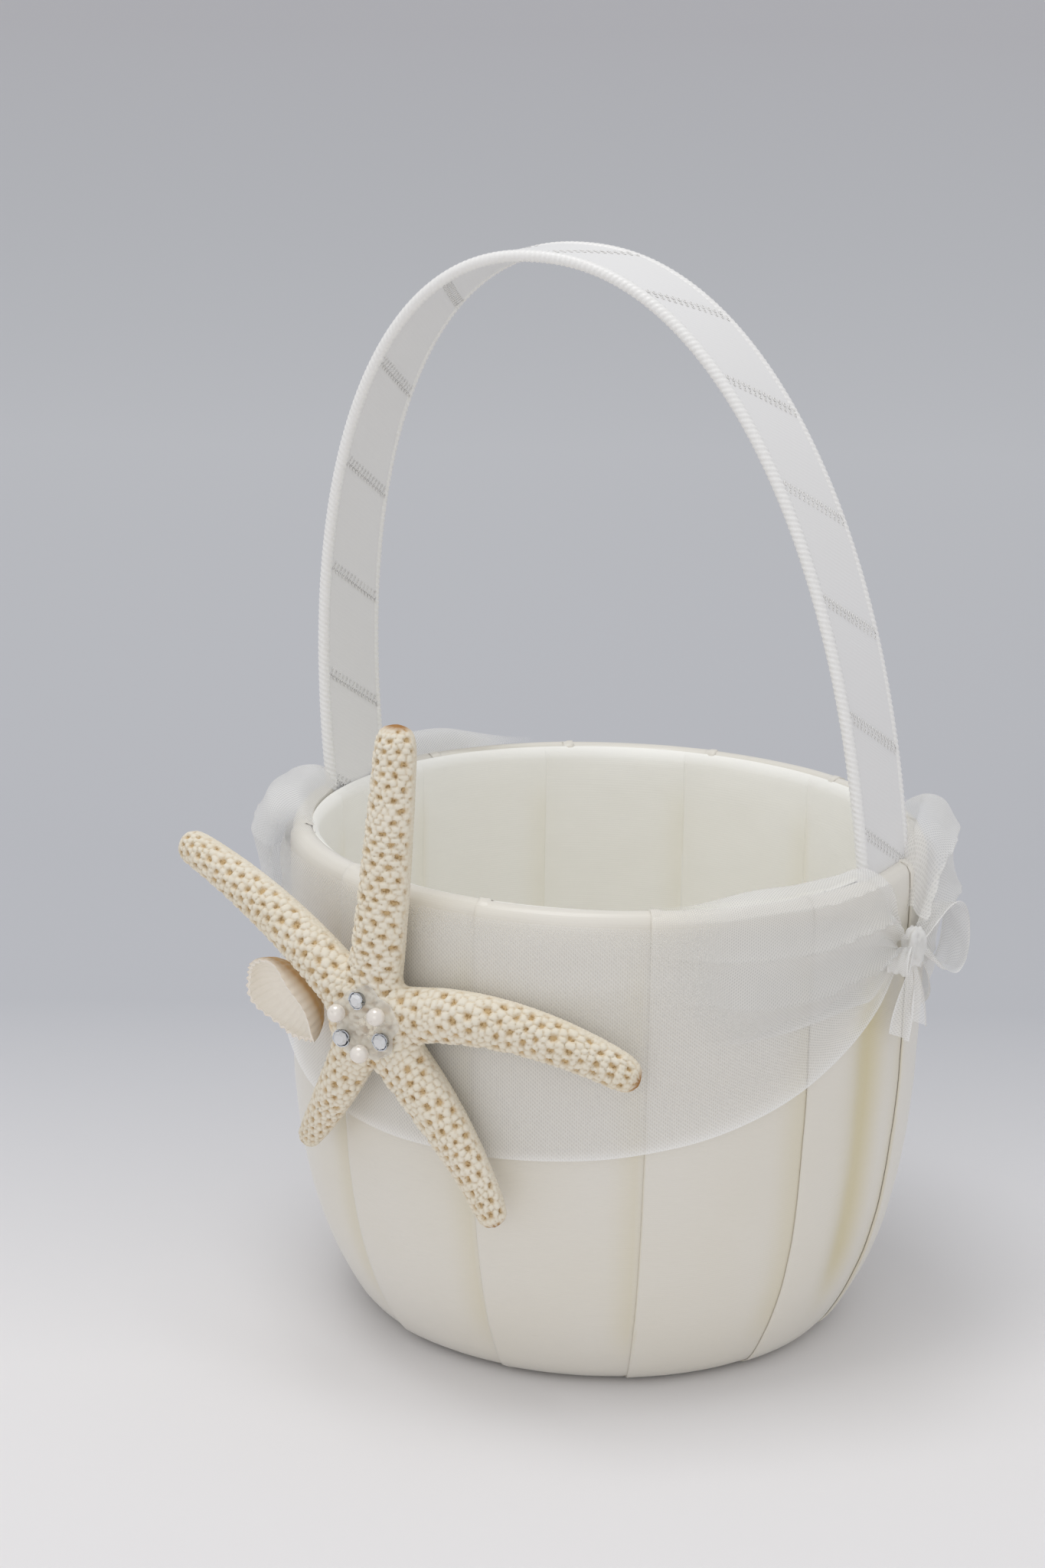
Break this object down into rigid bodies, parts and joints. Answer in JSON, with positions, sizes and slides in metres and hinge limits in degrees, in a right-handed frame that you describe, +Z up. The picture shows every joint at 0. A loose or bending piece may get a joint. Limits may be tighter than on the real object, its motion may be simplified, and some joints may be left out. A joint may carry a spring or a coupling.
{
  "type": "flower girl basket",
  "caption": "Small round satin basket with a fixed ribbon-wound arch handle, an organza swag tied in bows, and a starfish ornament with pearls and crystals.",
  "frame": {"origin": "centre of the base, on the surface it stands on", "axes": "+Z up, X along the handle's span, -Y towards the decorated front with the starfish"},
  "size_m": [0.1636, 0.1642, 0.2507],
  "materials": {
    "outer_satin": "ivory satin, soft gloss",
    "lining_satin": "cream satin lining, soft gloss",
    "ribbon_satin": "wound satin ribbon, soft gloss",
    "organza": "sheer white organza",
    "board": "grey board, unseen",
    "felt_paper": "pressed felt paper",
    "spring_strip": "plastic boning strip, unseen",
    "cotton_cord": "twisted cotton cord",
    "starfish": "dry chalky plates with tan pits",
    "seashell": "matt chalky ribs, tan to white",
    "clear_glue": "clear hot-melt glue",
    "staple_steel": "zinc-coated staple wire",
    "pearl": "pearl lustre",
    "crystal": "faceted clear crystal",
    "silver_foil": "silvered foil back"
  },
  "bodies": {
    "root": {"base_cover": "felt_paper", "bow_left_knot": "organza", "bow_left_loop_back": "organza", "bow_left_loop_front": "organza", "bow_left_tail_back": "organza", "bow_left_tail_front": "organza", "bow_right_knot": "organza", "bow_right_loop_back": "organza", "bow_right_loop_front": "organza", "bow_right_tail_back": "organza", "bow_right_tail_front": "organza", "gem_glue": "clear_glue", "handle_core": "spring_strip", "handle_edge_back": "cotton_cord", "handle_edge_front": "cotton_cord", "handle_wrap": "ribbon_satin", "lining_floor": "lining_satin", "lining_wall": "lining_satin", "organza_back": "organza", "organza_front": "organza", "outer_cover": "outer_satin", "pearl_1": "pearl", "pearl_2": "pearl", "pearl_3": "pearl", "seashell": "seashell", "seashell_glue": "clear_glue", "shell_base": "board", "shell_wall": "board", "staple_left_1": "staple_steel", "staple_left_2": "staple_steel", "staple_right_1": "staple_steel", "staple_right_2": "staple_steel", "starfish": "starfish", "starfish_glue": "clear_glue", "stone_1": "crystal", "stone_2": "crystal", "stone_3": "crystal", "stone_cup_1": "silver_foil", "stone_cup_2": "silver_foil", "stone_cup_3": "silver_foil"}
  },
  "joints": []
}
